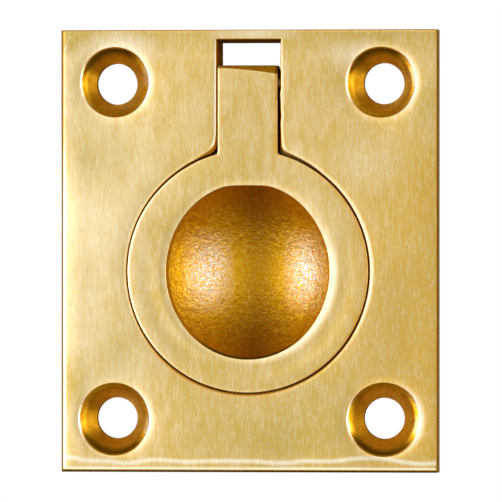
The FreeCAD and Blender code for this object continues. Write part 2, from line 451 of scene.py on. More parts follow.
def face_outwards(piece, crease=38.0):
    """Turns every face outwards, and keeps edges over `crease` degrees sharp in the shading."""
    work = bmesh.new()
    work.from_mesh(piece.data)
    open_edges = sum(1 for e in work.edges if len(e.link_faces) != 2)
    print(piece.name, "triangles", len(work.faces), "open or doubled edges", open_edges)
    bmesh.ops.recalc_face_normals(work, faces=work.faces)
    work.to_mesh(piece.data)
    work.free()
    piece.data.shade_smooth()
    piece.data.set_sharp_from_angle(angle=math.radians(crease))


# Outlines


def rectangle(insets, corner):
    """Plate outline set in by its own amount at the right, top, left and bottom, with a corner
    radius and always the same number of points."""
    right, top, left, bottom = insets
    runs = []
    for sx, sz, first in ((1, 1, 0), (-1, 1, 1), (-1, -1, 2), (1, -1, 3)):
        x = half_width - (right if sx > 0 else left)
        z = half_height - (top if sz > 0 else bottom)
        lean = np.linspace(first, first + 1, 5) * math.pi / 2
        centre = (sx * (x - corner), sz * (z - corner))
        runs.append(points_of(centre[0] + corner * np.cos(lean), centre[1] + corner * np.sin(lean)))
    sides = []
    for run, following, count in zip(runs, runs[1:] + runs[:1], (110, 130, 110, 130)):
        share = np.linspace(0, 1, count)[:, None]
        sides += [run, run[-1] + share * (following[0] - run[-1])]
    return join_runs(*sides)


def plate_facing(outline):
    """Shares of right, top, left and bottom in the way each point of the plate's outline faces."""
    x, z = outline.T
    across = climb(np.abs(x) - half_width, -corner_radius, corner_radius)
    upright = climb(np.abs(z) - half_height, -corner_radius, corner_radius)
    total = across + upright
    across, upright = across / total, upright / total
    return points_of(across * (x > 0), upright * (z > 0), across * (x <= 0), upright * (z <= 0))


def right_wall(z):
    """How far the hand-filed right wall of the channel wanders, for a height z."""
    rise = climb(z, 11.5, 2.0) * climb(z, slot_top, -1.5)
    return rise * (0.03 * np.sin(z * 1.9 + 0.4) + 0.018 * np.sin(z * 4.3) - 0.02)


def keyhole(radius, half, top, joins, step, levels=()):
    """A round with an arm above it, joined by an arc on each side that touches both.

    Gives the points from the top right corner anticlockwise. The arm's sides have a point at each
    height in `levels`.
    """
    left, right = joins

    def join_point(join):
        x = half + join
        return x, ring_z + math.sqrt((radius + join) ** 2 - x ** 2)

    stops = [top, *levels]
    x_left, z_left = join_point(left)
    x_right, z_right = join_point(right)
    lean_left = math.atan2(z_left - ring_z, x_left)
    lean_right = math.atan2(z_right - ring_z, x_right)
    down = [straight((-half, a), (-half, b), step) for a, b in zip(stops, [*stops[1:], z_left])]
    up_stops = [z_right, *stops[::-1]]
    up = [straight((half, a), (half, b), step) for a, b in zip(up_stops, up_stops[1:])]
    round_ = bend((0, ring_z), radius, math.pi - lean_left, 2 * math.pi + lean_right, step)
    join_left = bend((-x_left, z_left), left, 0, -lean_left, step)
    join_right = bend((x_right, z_right), right, math.pi + lean_right, math.pi, step)
    across = straight((half, top), (-half, top), step)
    return join_runs(across, *down, join_left, round_, join_right, *up)


def oval():
    """Finger hole of four arcs that meet where the outline runs at 45 degrees, its top filed flat:
    what stands above the flat is lowered to it, softly, by the logarithm of a sum of powers."""
    lift = (finger_half_height - finger_half_width) / (2 - math.sqrt(2))
    side = finger_half_width + lift
    end = side - lift * math.sqrt(2)
    quarter = math.pi / 4
    hole = join_runs(
        bend((ring_shift - lift, ring_z), side, -quarter, quarter),
        bend((ring_shift, ring_z + lift), end, quarter, 3 * quarter),
        bend((ring_shift + lift, ring_z), side, 3 * quarter, 5 * quarter),
        bend((ring_shift, ring_z - lift), end, 5 * quarter, 7 * quarter),
    )
    above = (hole[:, 1] - ring_z - finger_half_height + flattened) / flat_ease
    hole[:, 1] -= flat_ease * np.logaddexp(0, above)
    return hole


# Backplate


def slot_top_at(y):
    """The slot's top falls a little towards the back."""
    return slot_top - slot_draft * (y - front) / (boss_y - front)


def top_share(x, z):
    """Narrows a buffed edge to half its width on the thin rail above the slot."""
    return 0.5 + 0.5 * smooth(np.maximum(climb(np.abs(x), channel_half, 3.0), climb(z, slot_top, -2.5)))


def junction_bevel(x, z):
    """How many times wider the lip's bevel is where the arm's channel meets the round, and along
    the bottom of the round."""
    left = spot_share(x, z, left_junction, 1.1)
    right = spot_share(x, z, right_junction, 0.9)
    return 1 + 3.6 * left + 1.5 * right + 0.5 * climb(z, ring_z - 4, -6)


def countersink_rows(side, up, dx, dz, radius):
    """Rim, cone, bore and back rim of a screw hole, from the back to the face. The rim stands off
    the bore's axis, and the cone between them is skewed to join them."""
    unit = circle(0, 0, 1, 112)
    across, upward = unit[:, 0], up * unit[:, 1]
    inside, down, polish, start = edge_profile(roll=0.84, lean=7, radius=0.2, turn_to=45, dull=0.5)
    cone = np.linspace(0, radius - screw_radius, 12)[1:]
    cone_y = front + down[-1] + cone
    bore_y = np.linspace(cone_y[-1], -corner_radius, 4)[1:]
    bore = [screw_radius] * 3 + [screw_radius + corner_radius]
    radii = np.concatenate([radius + inside, radius - cone, bore])
    depths = np.concatenate([front + down, cone_y, bore_y, [0.0]])
    skew = np.concatenate([np.zeros(len(inside)), cone / cone[-1], np.ones(4)])

    # Polish and painted light: the rim's bevel is painted bright, most at its right side, and its arc bright
    # at both sides and dark as shade at top and bottom. The cone has a painted highlight and a painted shade
    # crescent, and its left side is darkened as painted shade.
    rolled = polish[:, None] * (0.15 + 0.85 * np.clip(across, 0, 1) ** 2)
    rolled[start + 1:] = polish[start + 1:, None] * (1.25 * across ** 2 - 0.25)
    lit = np.abs(across) * math.cos(glint_lift) + upward * math.sin(glint_lift)
    lit = climb(lit, 0.94, 0.06) * np.where(across > 0, 0.3, 0.75)
    shaded = upward * math.cos(shade_aside[up]) - across * math.sin(shade_aside[up])
    crescents = lit - 1.3 * climb(shaded, 0.35, 0.35)
    outer = np.clip(1.1 - cone / 0.65, 0, 1)[:, None]
    painted_shade_left = -0.5 * np.clip(-across, 0, 1) ** 1.5
    levels = np.concatenate([rolled, outer * crescents + painted_shade_left, np.zeros((4, len(unit)))])

    rows = []
    for r, y, share in zip(radii[::-1], depths[::-1], skew[::-1]):
        x = side * screw_x + dx * (1 - share)
        z = up * (screw_z - bore_skew * share) + dz * (1 - share)
        rows.append(at_depth(unit * r + (x, z), y))
    finish = [SCALED] * 4 + [COUNTERSUNK] * 16 + [LINISHED] * (len(rows) - 21)
    return rows, finish, levels[::-1]


def groove_profile():
    """Section (z, y) of the pin's seat: staked mouth, channel behind it, half round in front."""
    lip_y = boss_y - staked_lip
    lean = np.linspace(0, math.pi, 17)
    seat = points_of(seat_radius * np.cos(lean), pin_y - seat_radius * np.sin(lean))
    upper = [(staked_half, boss_y), (staked_half, lip_y), (seat_radius, lip_y)]
    lower = [(-seat_radius, lip_y), (-staked_half, lip_y), (-staked_half, boss_y)]
    return np.concatenate([upper, seat, lower]) + (pin_z, 0)


def recess_lip(skin, outline):
    """Rounded lip of the keyhole recess. Gives its lowest row and the one in the face."""
    x, z = outline.T
    normals = outward(outline)
    rightward, leftward = np.clip(normals[:, 0], 0, 1), np.clip(-normals[:, 0], 0, 1)
    in_arm = climb(z, 9.5, 1.5)
    lower = climb(-normals[:, 1], 0.2, 0.5)
    profile = edge_profile(roll=0.85, lean=8, radius=0.11, band=0.16)
    inside, _, polish, start = profile
    reach = inside[start]
    wider = junction_bevel(x, z)
    wider[z >= pocket_z - 1e-6] = 1
    share = top_share(x, z) * (0.5 + 0.15 * rightward)
    share *= (1 - 0.3 * in_arm) * (1 - 0.3 * lower)
    share = np.minimum(share, (lip_reach - reach * wider) / (inside[0] - reach))
    offsets, depths = widened(profile, share, wider, 1 + 0.9 * leftward)
    drawn = outline + climb(z, 9.3, -1.5)[:, None] * ((lip_shift, 0) - lip_closing * normals)
    rows = [at_depth(outline, front + depths[-1].max() + 0.03)]
    rows += [at_depth(drawn + normals * d[:, None], front + y) for d, y in zip(offsets[::-1], depths[::-1])]
    # Painted highlight on the lip at the right of the round and at the left of the arm's channel, painted
    # shade along its lower part
    bright = 0.1 + 0.9 * np.maximum(rightward ** 1.5 * (1 - 0.5 * in_arm), leftward * in_arm) - 0.5 * lower
    # The lip's arc is painted dark as shade, and lighter near the right junction as painted light
    polish[start + 1:] = -1
    levels = shine(polish, bright)
    levels[start + 1:] += 0.5 * spot_share(x, z, junction_painted_light, 4)
    skin.rows(rows, LINISHED, polish=np.concatenate([levels[-1:], levels[::-1]]))
    return rows[0], rows[-1]


def cheek_wall(skin, side, column, through_y):
    """Wall of one cheek beside the slot, notched by the pin's groove, with the groove behind it.

    `column` holds the wall's points (x, z) from the pocket up, and `through_y` the depths of its
    rows. Gives the wall's edge in the boss's back, from the pocket up.
    """
    section = groove_profile()

    def placed(z, y):
        return points_of(np.interp(z, column[:, 1], column[:, 0]), y, z)

    notch = placed(*section.T)
    top_y = through_y[1:]
    heights = column[::-1, 1]
    above = heights[(heights > section[0, 0] + 0.05) & (heights < slot_top_at(boss_y) - 0.05)]
    above, under = placed(above, boss_y), placed(heights[heights < section[-1, 0] - 0.05], boss_y)
    loop = np.concatenate([
        at_depth(column, through_y[0]), points_of(column[-1, 0], top_y, slot_top_at(top_y)),
        above, notch, under, points_of(column[0, 0], through_y[-2:0:-1], pocket_z)])
    skin.patch([loop], 0.3, SCALED, lambda z, y: placed(z, y)[:, 0], axes=(2, 1))
    ends = np.full(len(section), side * groove_half)
    ends[[0, 1, -2, -1]] = side * mouth_end
    length = points_of(ends, notch[:, 1], notch[:, 2]) - notch
    grid = notch[:, None] + length[:, None] * np.linspace(0, 1, 7)[:, None]
    skin.rows(grid, RAW, closed=False)
    end = grid[:, -1]
    skin.rows([end[[0, -1]], end[[1, -2]], end[[2, -3]]], RAW, closed=False)
    skin.patch([end[2:-2]], 0.4, RAW, side * groove_half, axes=(2, 1))
    return np.concatenate([under[-2::-1], grid[-1], grid[0, ::-1], above[::-1]])


def recess_walls(skin, outline, lip_row):
    """Walls of the keyhole below its lip. It splits at the pocket: above that they run right
    through. Gives the loop round the recess floor and the loop round the slot's back."""
    upper = outline[:, 1] >= pocket_z - 1e-6
    start = int(np.argmin(np.abs(outline[:, 1] - pocket_z) + (outline[:, 0] > 0) * 100))
    order = np.roll(np.arange(len(outline)), -start)
    below = order[:int((~upper).sum()) + 2]
    floor_row = at_depth(outline[below], floor_y)
    wall = wall_grid(floor_row, lip_row[below], 7)
    # The walls' top row takes a polish level of -1: painted dark as shade
    skin.rows(wall, [SCALED] * 5 + [LINISHED], closed=False, polish=-1.0)

    pocket_x = sweep(-channel_half, channel_half, 0.3)
    pocket_x[0], pocket_x[-1] = floor_row[0, 0], floor_row[-1, 0]
    pocket_line = points_of(pocket_x[::-1], pocket_z)
    pocket_y = sweep(floor_y, boss_y, 0.3)
    skin.rows([at_depth(pocket_line, y) for y in pocket_y], SCALED, closed=False)

    through_y = np.concatenate([wall[::-1, 0, 1], pocket_y[1:]])
    top_x = outline[np.abs(outline[:, 1] - slot_top) < 1e-6, 0]
    top_rows = [points_of(top_x, y, slot_top_at(y)) for y in through_y]
    top_rows[0][:, 2] = slot_top
    skin.rows(top_rows, SCALED, closed=False)

    edges = []
    for side in (-1, 1):
        beside = upper & (np.sign(outline[:, 0]) == side) & (np.abs(outline[:, 0]) > channel_half - 0.2)
        column = outline[beside]
        edges.append(cheek_wall(skin, side, column[np.argsort(column[:, 1])], through_y))
    floor_loop = np.concatenate([floor_row, at_depth(pocket_line, floor_y)[1:-1]])
    pocket_back = at_depth(pocket_line[::-1], boss_y)
    return floor_loop, np.concatenate([pocket_back, edges[1], top_rows[-1], edges[0][::-1]])


def bowl_rim_rows():
    """The bevel where the bowl breaks the recess floor, and the first turn of the bowl below it."""
    lean = math.asin((floor_y + bowl_bevel - bowl_y) / bowl_radius)
    edge = bowl_radius * math.cos(lean)
    profile = [(edge + bowl_bevel, floor_y), (edge + 0.12, floor_y + 0.12), (edge, floor_y + bowl_bevel)]
    profile += [(bowl_radius * math.cos(lean + t), bowl_y + bowl_radius * math.sin(lean + t))
                for t in (0.012, 0.024)]
    return [at_depth(circle(0, ring_z, r, 420), y) for r, y in profile]


def bowl_surface(skin, rim):
    """The round hollow. Its points are spaced evenly on a flat disc whose radius is the distance
    along the bowl from its deepest point, and each is then laid on the sphere."""
    lean = math.acos((rim[0, 1] - bowl_y) / bowl_radius)
    angle = np.arctan2(rim[:, 2] - ring_z, rim[:, 0])
    disc = points_of(bowl_radius * lean * np.cos(angle), bowl_radius * lean * np.sin(angle))
    lattice, triangles = fill([disc], 0.13)
    reach = np.linalg.norm(lattice, axis=1)
    theta = reach / bowl_radius
    flat = bowl_radius * np.sin(theta) / np.maximum(reach, 1e-9)
    laid = points_of(lattice[:, 0] * flat, bowl_y + bowl_radius * np.cos(theta),
                     ring_z + lattice[:, 1] * flat)
    skin.add(np.concatenate([rim, laid]), triangles, CAST)


def plate_sides(skin):
    """Buffed edge of the face and the flange's sides, each side with its own width of buffing.
    Gives the first and the last row."""
    edge = rectangle((0, 0, 0, 0), corner_radius)
    facing = plate_facing(edge)
    on_top = facing[:, 1] > 0.9
    profile = edge_profile(roll=0.7, lean=9, radius=0.12, band=0.2)
    inside, _, polish, start = profile
    roll_share = facing @ np.array([0.45, 0.45, 0.9, 0.9])
    roll_share *= np.where(on_top, top_share(edge[:, 0], edge[:, 1]), 1)
    offsets, depths = widened(profile, roll_share, facing @ np.array([0.35, 0.5, 1.0, 1.5]))
    rows = []
    for d, y in zip(offsets, depths):
        insets = [d[facing[:, k] > 0.9].mean() for k in range(4)]
        row = rectangle(insets, corner_radius + 0.4 * min(insets))
        row[on_top, 1] = half_height - d[on_top]
        rows.append(at_depth(row, front + y))
    rows += [at_depth(edge, y) for y in np.linspace(front + depths[-1].max(), -back_bevel, 7)[1:]]
    rows.append(at_depth(rectangle((back_bevel,) * 4, 0.095), 0.0))
    # Painted highlight on the rolls of the left and bottom edges, fading towards the top of the left side,
    # and painted shade on the edges' arcs, most at the bottom, then the left, the right and the top
    fading = np.clip((14 - edge[:, 1]) / 8, 0.15, 1)
    edge_painted_highlight = np.where(facing[:, 0] + facing[:, 1] > 0.5, 0.1, fading)
    side_painted_shade = facing @ np.array([-1.2, -0.8, -1.4, -2.0])
    levels = [level * edge_painted_highlight for level in polish[:start]] + [side_painted_shade] * (len(rows) - start)
    finish = [LINISHED] * (len(inside) - 2) + [MILLED] * (len(rows) - len(inside) + 1)
    skin.rows(rows, finish, polish=levels)
    return rows[0], rows[-1]


def dome_rows():
    """The bowl's round back: bevelled foot, sphere about the bowl's centre, flat crown."""
    radius = bowl_radius + bowl_wall
    foot = math.asin((boss_y + dome_bevel - bowl_y) / radius)
    crown = math.acos(dome_flat / radius)
    profile = [(radius * math.cos(foot) + dome_bevel, boss_y)]
    profile += [(radius * math.cos(t), bowl_y + radius * math.sin(t)) for t in np.linspace(foot, crown, 22)]
    rows = [at_depth(circle(0, ring_z, r, 200), y) for r, y in profile]
    rows[-1][:, 1] = crown_y
    return rows


def plate_back(skin, last_side, hole_backs, slot_back):
    """The flange's back, the keyhole boss behind it with a rounded edge, and the bowl's dome."""
    outline = keyhole(recess_radius + boss_wall, cheek_x, boss_top, (boss_join, boss_join), 0.35)
    normals = outward(outline)
    skin.patch([last_side, at_depth(outline, 0.0), *hole_backs], 0.55, RAW, 0.0)
    boss = [at_depth(outline, y) for y in np.linspace(0, boss_y - boss_bevel, 5)]
    for t in np.linspace(0, math.pi / 2, 6)[1:]:
        inset = boss_bevel * (1 - math.cos(t))
        row = outline - normals * inset
        arm_x = cheek_x - inset
        row[:, 0] = np.where(row[:, 1] > pocket_z, np.clip(row[:, 0], -arm_x, arm_x), row[:, 0])
        row[:, 1] = np.minimum(row[:, 1], boss_top - inset)
        boss.append(at_depth(row, boss_y - boss_bevel * (1 - math.sin(t))))
    skin.rows(boss[::-1], RAW)
    dome = dome_rows()
    skin.rows(dome, RAW)
    skin.patch([boss[-1], dome[0], slot_back], 0.5, RAW, boss_y)
    skin.patch([dome[-1]], 0.5, RAW, crown_y)


def backplate_skin():
    """Every surface of the backplate. Where two meet, the one that was added first gives the
    polish level, with its painted highlights and shade, of the points they share, so the order counts."""
    skin = Skin()
    outline = keyhole(recess_radius, channel_half, slot_top, (left_join, right_join), 0.2, (pocket_z,))
    on_right = (np.abs(outline[:, 0] - channel_half) < 1e-6) & (outline[:, 1] > 11)
    outline[on_right, 0] += right_wall(outline[on_right, 1])
    lip_row, face_row = recess_lip(skin, outline)
    floor_loop, slot_back = recess_walls(skin, outline, lip_row)
    rim = bowl_rim_rows()
    skin.rows(rim, [FILED] + [CAST] * (len(rim) - 2))
    skin.patch([floor_loop, rim[0]], 0.4, FILED, floor_y)
    bowl_surface(skin, rim[-1])
    hole_backs, hole_rims = [], []
    for place in countersinks:
        rows, finish, levels = countersink_rows(*place)
        skin.rows(rows, finish, polish=levels)
        hole_backs.append(rows[0])
        hole_rims.append(rows[-1])
    first_side, last_side = plate_sides(skin)
    skin.patch([first_side, face_row, *hole_rims], 0.3, LINISHED, front)
    plate_back(skin, last_side, hole_backs, slot_back)
    return skin


def face_form(x, z):
    """How far the linished face lies behind its highest plane, in millimetres.

    It falls away to the left and right as the square of the distance, drops towards the left edge,
    takes a small soft step above the bottom edge, where the belt dwelt, and wanders by a few
    hundredths of a millimetre between.
    """
    crown = 0.10 * (x / half_width) ** 2
    wave = value_noise(x, z, 4.5, 13)
    left = 0.17 * near_share(half_width + x, 2.3 + 0.4 * wave) * np.maximum(climb(z, 13, -5), 0.1)
    lower = 0.05 * smooth(climb(z, 1.6 + 0.3 * wave - half_height, -0.8))
    others = 0.02 * near_share(np.minimum(half_width - x, half_height - z), 1.6)
    wander = 0.054 * (1 + value_noise(x, z, 6.5, 11)) + 0.012 * (1 + value_noise(x, z, 2.8, 12))
    return crown + np.maximum(left, lower) + others + wander


def lay_face(points, buffed):
    """Points with those near the face set back by its form and by the buffing."""
    x, y, z = points.T
    moved = points.copy()
    moved[:, 1] += climb(y, front + 0.6, -0.5) * (face_form(x, z) + buffed)
    return moved


def shape_backplate(points):
    """Hand finishing and casting skin: the face takes its form, and the bowl and its round back
    have the grain of the sand they were cast in."""
    x, y, z = points.T
    to_lip = np.abs(np.hypot(x, z - ring_z) - recess_radius) + 10 * (z > pocket_z)
    buffed = 0.035 * near_share(to_lip, 1.8)
    for side, up, dx, dz, radius in countersinks:
        to_rim = np.abs(np.hypot(x - side * screw_x - dx, z - up * screw_z - dz) - radius)
        buffed += 0.04 * near_share(to_rim, 1.9) + 0.055 * near_share(to_rim, 5.2)
    moved = lay_face(points, buffed)
    to_centre = points_of(-x, bowl_y - y, ring_z - z)
    reach = np.linalg.norm(to_centre, axis=1)
    in_bowl = (np.abs(reach - bowl_radius) < 0.02) & (y > floor_y + bowl_bevel + 0.05)
    grain = 0.014 * value_noise(x, z, 0.42, 21) + 0.010 * value_noise(x, z, 0.26, 22)
    grain += 0.03 * value_noise(x, z, 2.4, 23)
    fade = climb(y - floor_y, bowl_bevel, 0.6)
    moved += (in_bowl * fade * grain / reach)[:, None] * to_centre
    pits = 0.012 * (1 + value_noise(x, z, 0.8, 31)) + 0.02 * (1 + value_noise(x, z, 3.0, 32))
    dome = (np.abs(reach - bowl_radius - bowl_wall) < 0.05) & (y > boss_y)
    moved += ((dome * pits) / reach)[:, None] * to_centre
    return moved


# Pull ring


def rounded_path(corners, radius, steps=5):
    """A polyline (z, y) whose corners are rounded: each is replaced by a curve between the points
    one radius away from it, bent towards the corner."""
    made = [corners[0][None]]
    t = np.linspace(0, 1, steps)[:, None]
    for before, here, after in zip(corners, corners[1:], corners[2:]):
        back = here + (before - here) / np.linalg.norm(before - here) * radius
        ahead = here + (after - here) / np.linalg.norm(after - here) * radius
        made.append((1 - t) ** 2 * back + 2 * t * (1 - t) * here + t ** 2 * ahead)
    made.append(corners[-1][None])
    return np.concatenate(made)


def head_path(slope):
    """Side view (z, y) of the arm's head, up the front, over the filed slope and round the pin."""
    back = slope_back * slope / slope_right
    meet_z = pin_z - math.sqrt(knuckle_radius ** 2 - (ring_back - pin_y) ** 2)
    corners = [(head_foot, front), (head_top - slope, front), (head_top, front + back), (head_top, pin_y)]
    nose = rounded_path(np.array(corners), 0.09)
    rise = np.linspace(0, 1, 12)[1:, None]
    low = nose[0] + (nose[1] - nose[0]) * rise[:-1]
    end = -math.asin((pin_z - meet_z) / knuckle_radius)
    lean = np.linspace(math.pi / 2, end, 22)[1:]
    round_ = points_of(pin_z + knuckle_radius * np.sin(lean), pin_y + knuckle_radius * np.cos(lean))
    tail = round_[-1] + ((head_foot, ring_back) - round_[-1]) * np.linspace(0, 1, 4)[1:, None]
    return np.concatenate([nose[:1], low, nose[1:], round_, tail])


def ring_rim(skin, profile):
    """Edges and outer wall of the ring, open where the arm's head goes on. Gives its rows and the
    depths of the rows between the two edges."""
    inside, down, polish, _ = profile
    outline = keyhole(ring_radius, arm_half, head_foot, (ring_join, ring_join), 0.2)
    first = int(np.argmin(np.abs(outline - (-arm_half, head_foot)).sum(1)))
    outline = np.roll(outline, -first, 0)
    count = int(np.argmin(np.abs(outline - (arm_half, head_foot)).sum(1))) + 1
    normals = outward(outline)[:count]
    normals[0], normals[-1] = (-1, 0), (1, 0)
    outline = outline[:count] + (ring_shift, 0)
    wall = np.linspace(front + down[-1], ring_back - down[-1], 6)[1:-1]
    offsets = np.concatenate([inside, np.zeros(len(wall)), inside[::-1]])
    depths = np.concatenate([front + down, wall, ring_back - down[::-1]])
    # The edges carry the polish level with painted light, the outer wall is painted dark as shade and the
    # back edge takes half the polish
    levels = np.concatenate([polish, np.full(len(wall), -1.0), 0.5 * polish[::-1]])
    rows = [at_depth(outline - normals * d, y) for d, y in zip(offsets, depths)]
    sections = [LINISHED] * len(inside) + [SCALED] * (len(wall) - 1) + [LINISHED] * len(inside)
    # Painted highlight on the edges at the ring's left, more so lower down, and painted shade on those at its
    # right
    leftward = np.clip(-normals[:, 0], 0, 1) ** 1.5 * np.clip((12 - outline[:, 1]) / 3, 0.35, 0.8)
    leftward -= 0.5 * np.clip(normals[:, 0], 0, 1)
    skin.rows(rows, sections, closed=False, polish=shine(levels, leftward))
    return rows, wall


def finger_hole(skin):
    """Rows of the finger hole, from the back face's edge to the front face's."""
    hole = oval()
    normals = outward(hole)
    lower = climb(-normals[:, 1], 0.4, 0.5)
    rightward = np.clip(normals[:, 0], 0, 1)
    upper_right = rightward * np.clip(1.6 * normals[:, 1], 0, 1)
    profile = edge_profile(roll=1.3, lean=8, radius=0.08, band=0.25, turns=9)
    lip_in, lip_down = widened(profile, 0.7 + 0.3 * rightward, 1 + 2.4 * lower, 1 - 0.55 * upper_right)
    back_in, back_down, back_polish, _ = edge_profile(roll=0.6, lean=6, radius=0.25)
    through = np.linspace(ring_back - back_down[-1], front + lip_down[-1].max(), 6)[1:-1]
    drawn_in = hole - normals * (lower_lip_in * lower)[:, None]
    rows = [at_depth(hole + normals * d, ring_back - y) for d, y in zip(back_in, back_down)]
    rows += [at_depth(drawn_in, y) for y in through]
    for d, y in zip(lip_in[::-1], lip_down[::-1]):
        rows.append(at_depth(drawn_in + normals * d[:, None], front + y))
    # Painted highlight on the lip at the right of the hole, less at its upper right, and painted shade on the
    # lip's lower arc
    front_levels = shine(profile[2], 0.25 + 0.75 * (rightward - upper_right))
    arc = front_levels[profile[3] + 1:]
    arc -= (1 + arc) * lower + lower
    # The back edge takes half the polish, and the wall through the hole is painted dark as shade
    back_levels = np.concatenate([0.5 * back_polish, np.full(len(through), -1.0)])
    levels = np.concatenate([shine(back_levels, np.ones(len(hole))), front_levels[::-1]])
    skin.rows(rows, LINISHED, polish=levels)
    return rows


def arm_head(skin, profile, wall):
    """Head of the arm in columns from its left wall to its right wall, then the two walls with
    the bore between them. Gives the columns' places between the two edges."""
    inside, down, polish, _ = profile
    middle = sweep(-arm_half + inside[0], arm_half - inside[0], 0.3)[1:-1]
    across = np.concatenate([-arm_half + inside[::-1], middle, arm_half - inside])
    sunk = np.concatenate([down[::-1], np.zeros(len(middle)), down])
    # Painted highlight on the head's left edge and painted shade on its right edge
    left_shine = shine(polish, 0.35)[::-1, 0]
    levels = np.concatenate([left_shine, np.zeros(len(middle)), -0.7 * np.abs(polish)])
    left, right = head_path(slope_left), head_path(slope_right)
    columns = []
    for x, d in zip(across, sunk):
        share = (x + arm_half) / (2 * arm_half)
        path = left + (right - left) * share ** 1.7
        path = path - outward(path, closed=False) * d
        path[:, 0] = np.minimum(path[:, 0], head_top - d)
        path[:NOSE_END] = np.maximum.accumulate(path[:NOSE_END], axis=0)
        path[0], path[-1] = (head_foot, front + d), (head_foot, ring_back - d)
        columns.append(points_of(x + ring_shift, path[:, 1], path[:, 0]))
    along = np.swapaxes(np.array(columns), 0, 1)
    sections = np.full(len(along) - 1, LINISHED)
    sections[SLOPE_START:SLOPE_END] = COUNTERSUNK
    sections[SLOPE_END:NOSE_END + 8] = SCALED
    skin.rows(along, sections, closed=False, polish=levels)

    bore = circle(pin_y, pin_z, bore_radius, 48)
    mouths = []
    for column, x in ((columns[0], ring_shift - arm_half), (columns[-1], ring_shift + arm_half)):
        mouths.append(points_of(x, bore[:, 0], bore[:, 1]))
        loop = np.concatenate([column, points_of(x, wall[::-1], head_foot)])
        skin.patch([loop, mouths[-1]], 0.3, SCALED, x, axes=(1, 2))
    skin.rows(wall_grid(*mouths, 8), LINISHED)
    return middle


def ring_skin():
    """Every surface of the ring with its arm and head, in the order that gives shared points."""
    skin = Skin()
    profile = edge_profile(roll=0.36, lean=7, radius=0.08, band=0.06)
    rows, wall = ring_rim(skin, profile)
    hole = finger_hole(skin)
    middle = arm_head(skin, profile, wall)
    for row, rim, y, step in ((rows[0], hole[-1], front, 0.4), (rows[-1], hole[0], ring_back, 0.5)):
        under_head = points_of(middle[::-1] + ring_shift, y, head_foot)
        skin.patch([np.concatenate([row, under_head]), rim], step, LINISHED, y)
    return skin


def shape_ring(points):
    """The face takes the plate's form, and is buffed down towards the finger hole and the rim."""
    x, _, z = points.T
    from_middle = np.hypot(x - ring_shift, z - ring_z)
    reach = np.hypot(x - ring_shift, (z - ring_z) * finger_half_width / finger_half_height)
    plainer = climb(x, 0, 3) * climb(z, ring_z, 3)
    buffed = 0.03 * near_share(np.abs(reach - finger_half_width), 2.0) * (1 - 0.7 * plainer)
    middle = np.clip(1 - np.abs(from_middle - worn_ring) / 1.3, 0, 1)
    buffed += 0.05 * smooth(middle) * climb(z, 2, -6)
    buffed += 0.02 * near_share(np.abs(from_middle - ring_radius), 1.3) * (z < 9)
    return lay_face(points, buffed)


# Hinge pin


def pin_skin():
    """A round wire carried along X, with its ends eased. Stations are a length along the pin and
    the share of its radius there."""
    skin = Skin()
    end = [(0.0, 0.0), (0.0, 0.775), (0.04, 0.875), (0.15, 1.0)]
    stations = end + [(length, 1.0) for length in sweep(0.5, 2 * pin_half - 0.5, 0.4)]
    stations += [(2 * pin_half - length, share) for length, share in end[::-1]]
    rows = []
    for length, share in stations:
        y, z = circle(pin_y, pin_z, share * pin_radius, 48).T
        rows.append(points_of(length - pin_half, y, z))
    skin.rows(rows, 0)
    return skin


# Finishes


class Nodes:
    """Short calls for the node tree of a material or a world."""

    def __init__(self, block):
        block.use_nodes = True
        self.block = block
        self.tree = block.node_tree
        self.shader = self.tree.nodes.get("Principled BSDF")

    def add(self, kind, inputs=None, **settings):
        node = self.tree.nodes.new(kind)
        for key, value in settings.items():
            setattr(node, key, value)
        self.feed(node, inputs or {})
        return node

    def feed(self, node, inputs):
        for key, value in inputs.items():
            if isinstance(value, bpy.types.NodeSocket):
                self.tree.links.new(value, node.inputs[key])
            else:
                node.inputs[key].default_value = value

    def object_mm(self, stretch=(1, 1, 1)):
        """Object coordinates in millimetres, stretched along an axis by dividing its scale."""
        coordinates = self.add("ShaderNodeTexCoord").outputs["Object"]
        scale = [1 / MM * s for s in stretch]
        return self.add("ShaderNodeMapping", {"Vector": coordinates, "Scale": scale}).outputs["Vector"]

    def noise(self, scale, detail, roughness, stretch=(1, 1, 1)):
        inputs = {"Vector": self.object_mm(stretch), "Scale": scale, "Detail": detail, "Roughness": roughness}
        return self.add("ShaderNodeTexNoise", inputs).outputs["Fac"]

    def ramp(self, value, low, high, to_low=0.0, to_high=1.0):
        inputs = {"Value": value, "From Min": low, "From Max": high, "To Min": to_low, "To Max": to_high}
        return self.add("ShaderNodeMapRange", inputs).outputs["Result"]

    def soft_spot(self, x, z, half_wide, half_high, share):
        """A share that falls evenly from the middle of an oval spot to nothing at its edge."""
        place = self.object_mm((1 / half_wide, 0, 1 / half_high))
        middle = (x / half_wide, 0, z / half_high)
        away = self.add("ShaderNodeVectorMath", {0: place, 1: middle}, operation="DISTANCE")
        return self.ramp(away.outputs["Value"], 0.1, 1.0, share, 0.0)

    def math(self, operation, value, *others):
        """The operation on two values, then on its result and each further value."""
        for other in others or (0.0,):
            value = self.add("ShaderNodeMath", {0: value, 1: other}, operation=operation).outputs[0]
        return value

    # The polish level: the buffing, with painted highlights above 0 and painted shade below it.
    def polish(self):
        return self.add("ShaderNodeAttribute", attribute_name="polish").outputs["Fac"]

    def layers(self, base, layers):
        """A colour with others laid over it in turn, each by its own share."""
        base = colour(*base)
        for share, over in layers:
            inputs = {0: share, 6: base, 7: colour(*over)}
            base = self.add("ShaderNodeMix", inputs, data_type="RGBA").outputs[2]
        return base

    def surface(self, base, rough, height, distance, others=None):
        """Feeds the shader with a colour, a roughness, bumps of a height whose whole range is a
        distance in metres, and values for other sockets. Gives the material."""
        bump = self.add("ShaderNodeBump", {"Height": height, "Distance": distance, "Strength": 1.0})
        self.feed(self.shader, {"Base Color": base, "Metallic": 1.0, "Roughness": rough,
                                "Normal": bump.outputs["Normal"], **(others or {})})
        return self.block


def colour(red, green, blue):
    return (red, green, blue, 1.0)


